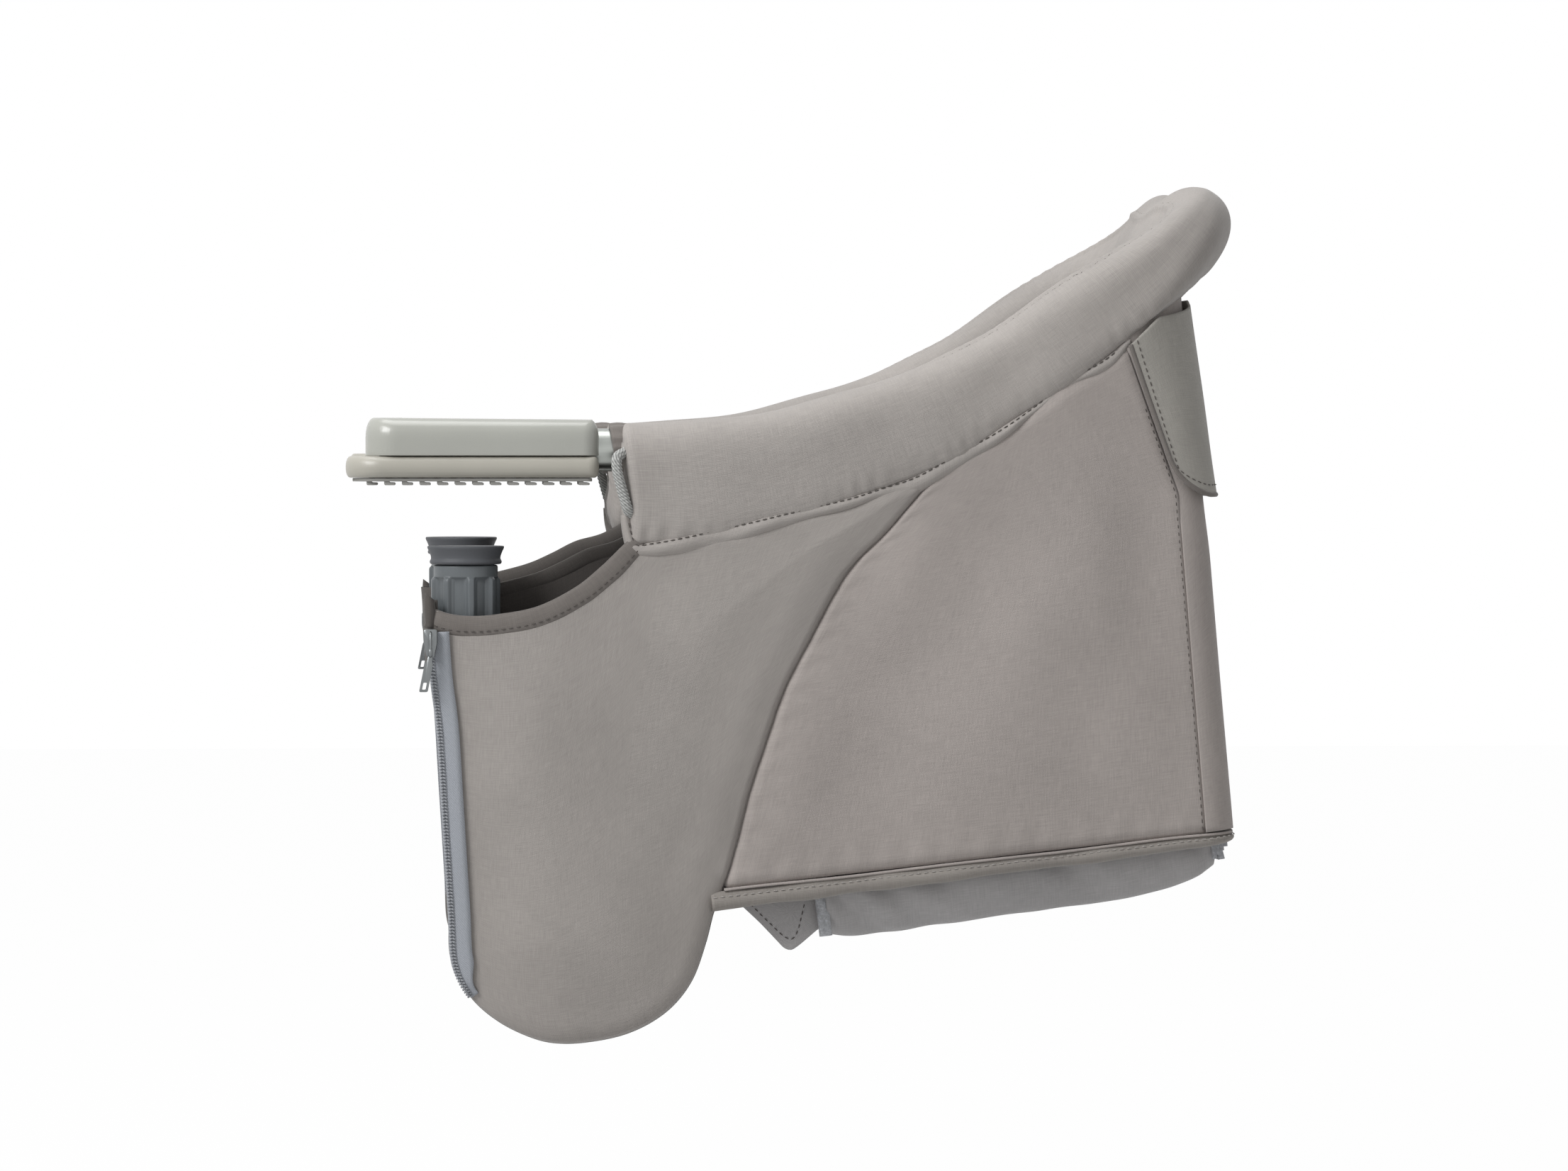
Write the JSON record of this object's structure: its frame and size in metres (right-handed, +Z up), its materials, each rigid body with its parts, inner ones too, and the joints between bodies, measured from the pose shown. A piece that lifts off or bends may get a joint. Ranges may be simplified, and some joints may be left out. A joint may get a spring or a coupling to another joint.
{
  "type": "hook on table chair",
  "caption": "Clip-on child seat: padded tube hoop whose arms lie on a table top, screw clamps in zipped leg pockets, a fabric bucket seat with harness, base pouch and back flap.",
  "frame": {"origin": "on the mid plane, at the line of the table's edge, on the plane of the table top that the arm treads rest on", "axes": "+Z up, +Y towards the back of the seat, +X to the sitter's left"},
  "size_m": [0.3914, 0.5192, 0.5],
  "materials": {
    "frame_tube": "satin silver paint",
    "clamp_steel": "zinc plated",
    "arm_housing": "satin moulded plastic",
    "arm_base": "satin moulded plastic",
    "tread_rubber": "matte ribbed rubber",
    "knob_plastic": "fine grained plastic",
    "cup_rubber": "matte rubber",
    "rim_cloth": "padded satin weave polyester",
    "side_cloth": "satin weave polyester",
    "pocket_cloth": "satin weave polyester",
    "lining_cloth": "plain weave polyester",
    "flap_cloth": "satin weave polyester",
    "trim_cloth": "twill tape and braid",
    "zip_metal": "die cast, nickel grey",
    "webbing": "woven webbing",
    "buckle_plastic": "satin moulded plastic",
    "seat_board": "pressed board"
  },
  "bodies": {
    "frame": {"upper_tube": "frame_tube", "drop_socket_left": "frame_tube", "drop_socket_right": "frame_tube", "stop_pin_left": "clamp_steel", "stop_pin_right": "clamp_steel", "rim_left": "rim_cloth", "rim_right": "rim_cloth", "rim_back": "rim_cloth", "elastic_cord_left": "trim_cloth", "elastic_cord_right": "trim_cloth", "arm_cover_left": "arm_housing", "arm_cover_right": "arm_housing", "arm_foot_left": "arm_base", "arm_foot_right": "arm_base", "arm_tread_left": "tread_rubber", "arm_tread_right": "tread_rubber", "side_panel_left": "side_cloth", "side_panel_right": "side_cloth", "lining_left": "lining_cloth", "lining_right": "lining_cloth", "back_panel": "side_cloth", "back_lining": "lining_cloth", "pocket_outer_left": "pocket_cloth", "pocket_outer_right": "pocket_cloth", "pocket_inner_left": "lining_cloth", "pocket_inner_right": "lining_cloth", "zip_tape_left": "trim_cloth", "zip_tape_right": "trim_cloth"},
    "arm_left": {"clamp_arm_left": "frame_tube", "arm_collar_left": "buckle_plastic", "arm_end_left": "knob_plastic", "clamp_screw_left": "clamp_steel"},
    "arm_right": {"clamp_arm_right": "frame_tube", "arm_collar_right": "buckle_plastic", "arm_end_right": "knob_plastic", "clamp_screw_right": "clamp_steel"},
    "cup_left": {"clamp_cup_left": "cup_rubber"},
    "cup_right": {"clamp_cup_right": "cup_rubber"},
    "knob_left": {"clamp_knob_left": "knob_plastic"},
    "knob_right": {"clamp_knob_right": "knob_plastic"},
    "seat": {"seat_cloth": "side_cloth", "base_piping": "side_cloth", "seat_board": "seat_board", "seat_pad": "lining_cloth", "bottom_pouch": "flap_cloth", "pouch_flap": "flap_cloth", "pouch_tab": "trim_cloth", "rear_tab": "trim_cloth", "crotch_strap": "webbing", "waist_strap_left": "webbing", "waist_strap_right": "webbing", "buckle": "buckle_plastic"},
    "button": {"buckle_button": "cup_rubber"},
    "slider_left": {"zip_slider_left": "zip_metal"},
    "slider_right": {"zip_slider_right": "zip_metal"},
    "pull_left": {"zip_pull_left": "zip_metal"},
    "pull_right": {"zip_pull_right": "zip_metal"},
    "flap": {"back_flap": "flap_cloth"}
  },
  "joints": [
    {"name": "arm_fold_left", "type": "hinge", "parent": "frame", "child": "arm_left", "pos_m": [0.161, 0.032, 0], "axis": [0, 0, -1], "range_deg": [0, 90], "deforming": ["pocket_inner_left"]},
    {"name": "arm_fold_right", "type": "hinge", "parent": "frame", "child": "arm_right", "pos_m": [-0.161, 0.032, 0], "axis": [0, 0, 1], "range_deg": [0, 90], "deforming": ["pocket_inner_right"]},
    {"name": "clamp_travel_left", "type": "slide", "parent": "arm_left", "child": "cup_left", "axis": [0, 0, 1], "range_m": [-0.01, 0.016]},
    {"name": "clamp_travel_right", "type": "slide", "parent": "arm_right", "child": "cup_right", "axis": [0, 0, 1], "range_m": [-0.01, 0.016]},
    {"name": "clamp_turn_left", "type": "hinge", "parent": "cup_left", "child": "knob_left", "pos_m": [0.161, -0.088, -0.07], "axis": [0, 0, 1], "range_deg": [-900, 1440]},
    {"name": "clamp_turn_right", "type": "hinge", "parent": "cup_right", "child": "knob_right", "pos_m": [-0.161, -0.088, -0.07], "axis": [0, 0, 1], "range_deg": [-900, 1440]},
    {"name": "seat_lift", "type": "slide", "parent": "frame", "child": "seat", "axis": [0, 0, 1], "range_m": [0, 0.09], "deforming": ["side_panel_left", "side_panel_right", "lining_left", "lining_right", "back_panel", "back_lining", "pocket_outer_left", "pocket_outer_right"]},
    {"name": "button_press", "type": "slide", "parent": "seat", "child": "button", "axis": [0, 0.1109, -0.9938], "range_m": [0, 0.003], "stiffness_N_per_m": 300},
    {"name": "zip_slide_left", "type": "slide", "parent": "frame", "child": "slider_left", "axis": [0, 0.07, -0.9975], "range_m": [0, 0.165]},
    {"name": "zip_slide_right", "type": "slide", "parent": "frame", "child": "slider_right", "axis": [0, 0.07, -0.9975], "range_m": [0, 0.165]},
    {"name": "pull_swing_left", "type": "hinge", "parent": "slider_left", "child": "pull_left", "pos_m": [0.194, -0.1055, -0.095], "axis": [0, -1, 0], "range_deg": [0, 150]},
    {"name": "pull_swing_right", "type": "hinge", "parent": "slider_right", "child": "pull_right", "pos_m": [-0.194, -0.1055, -0.095], "axis": [0, 1, 0], "range_deg": [0, 150]},
    {"name": "flap_lift", "type": "hinge", "parent": "frame", "child": "flap", "pos_m": [0, 0.3301, 0.1098], "axis": [1, 0, 0], "range_deg": [0, 60]}
  ],
  "couplings": [
    {"joint": "clamp_travel_left", "follows": "clamp_turn_left", "m_per_rad": 0.0006366},
    {"joint": "clamp_travel_right", "follows": "clamp_turn_right", "m_per_rad": 0.0006366}
  ]
}
